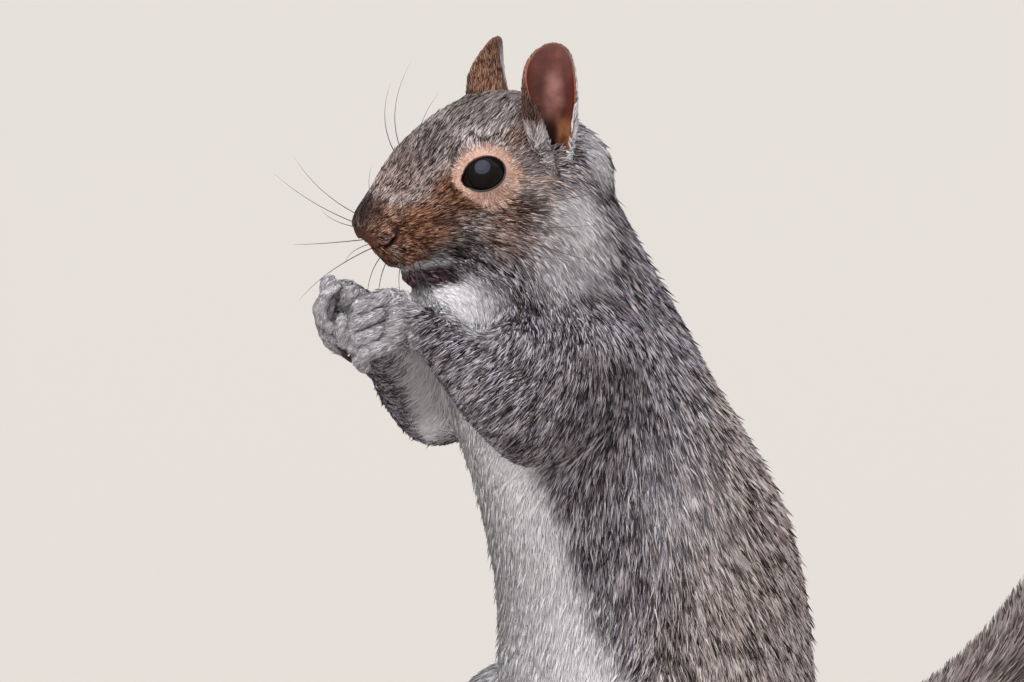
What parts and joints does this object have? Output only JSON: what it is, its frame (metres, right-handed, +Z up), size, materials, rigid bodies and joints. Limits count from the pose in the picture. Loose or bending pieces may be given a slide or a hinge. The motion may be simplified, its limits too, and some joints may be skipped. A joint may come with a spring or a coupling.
{
  "type": "grey squirrel",
  "caption": "Life-size still model of a grey squirrel sitting up on its haunches, forepaws held at its chin and its bushy tail raised behind it.",
  "frame": {"origin": "on the floor, at the middle of the animal's footprint box", "axes": "+Z up, the animal faces -Y with its tail towards +Y, and its left side is +X"},
  "size_m": [0.0864, 0.2506, 0.2112],
  "materials": {
    "grey_coat": "short dense fur, matt",
    "tail_coat": "long loose hair, matt",
    "ear_skin": "thin skin with very short hair, matt",
    "eye": "wet gloss",
    "claw": "smooth horn, satin"
  },
  "bodies": {
    "root": {"ear_left": "ear_skin", "ear_right": "ear_skin", "eye_left": "eye", "eye_right": "eye", "foot_left": "grey_coat", "foot_right": "grey_coat", "fore_claw_left_1": "claw", "fore_claw_left_2": "claw", "fore_claw_left_3": "claw", "fore_claw_left_4": "claw", "fore_claw_right_1": "claw", "fore_claw_right_2": "claw", "fore_claw_right_3": "claw", "fore_claw_right_4": "claw", "forearm_left": "grey_coat", "forearm_right": "grey_coat", "hand_left": "grey_coat", "hand_right": "grey_coat", "head": "grey_coat", "hind_claw_left_1": "claw", "hind_claw_left_2": "claw", "hind_claw_left_3": "claw", "hind_claw_left_4": "claw", "hind_claw_left_5": "claw", "hind_claw_right_1": "claw", "hind_claw_right_2": "claw", "hind_claw_right_3": "claw", "hind_claw_right_4": "claw", "hind_claw_right_5": "claw", "neck": "grey_coat", "shank_left": "grey_coat", "shank_right": "grey_coat", "tail_base": "tail_coat", "tail_lower": "tail_coat", "tail_tip": "tail_coat", "tail_upper": "tail_coat", "thigh_left": "grey_coat", "thigh_right": "grey_coat", "trunk": "grey_coat", "upper_arm_left": "grey_coat", "upper_arm_right": "grey_coat"}
  },
  "joints": []
}
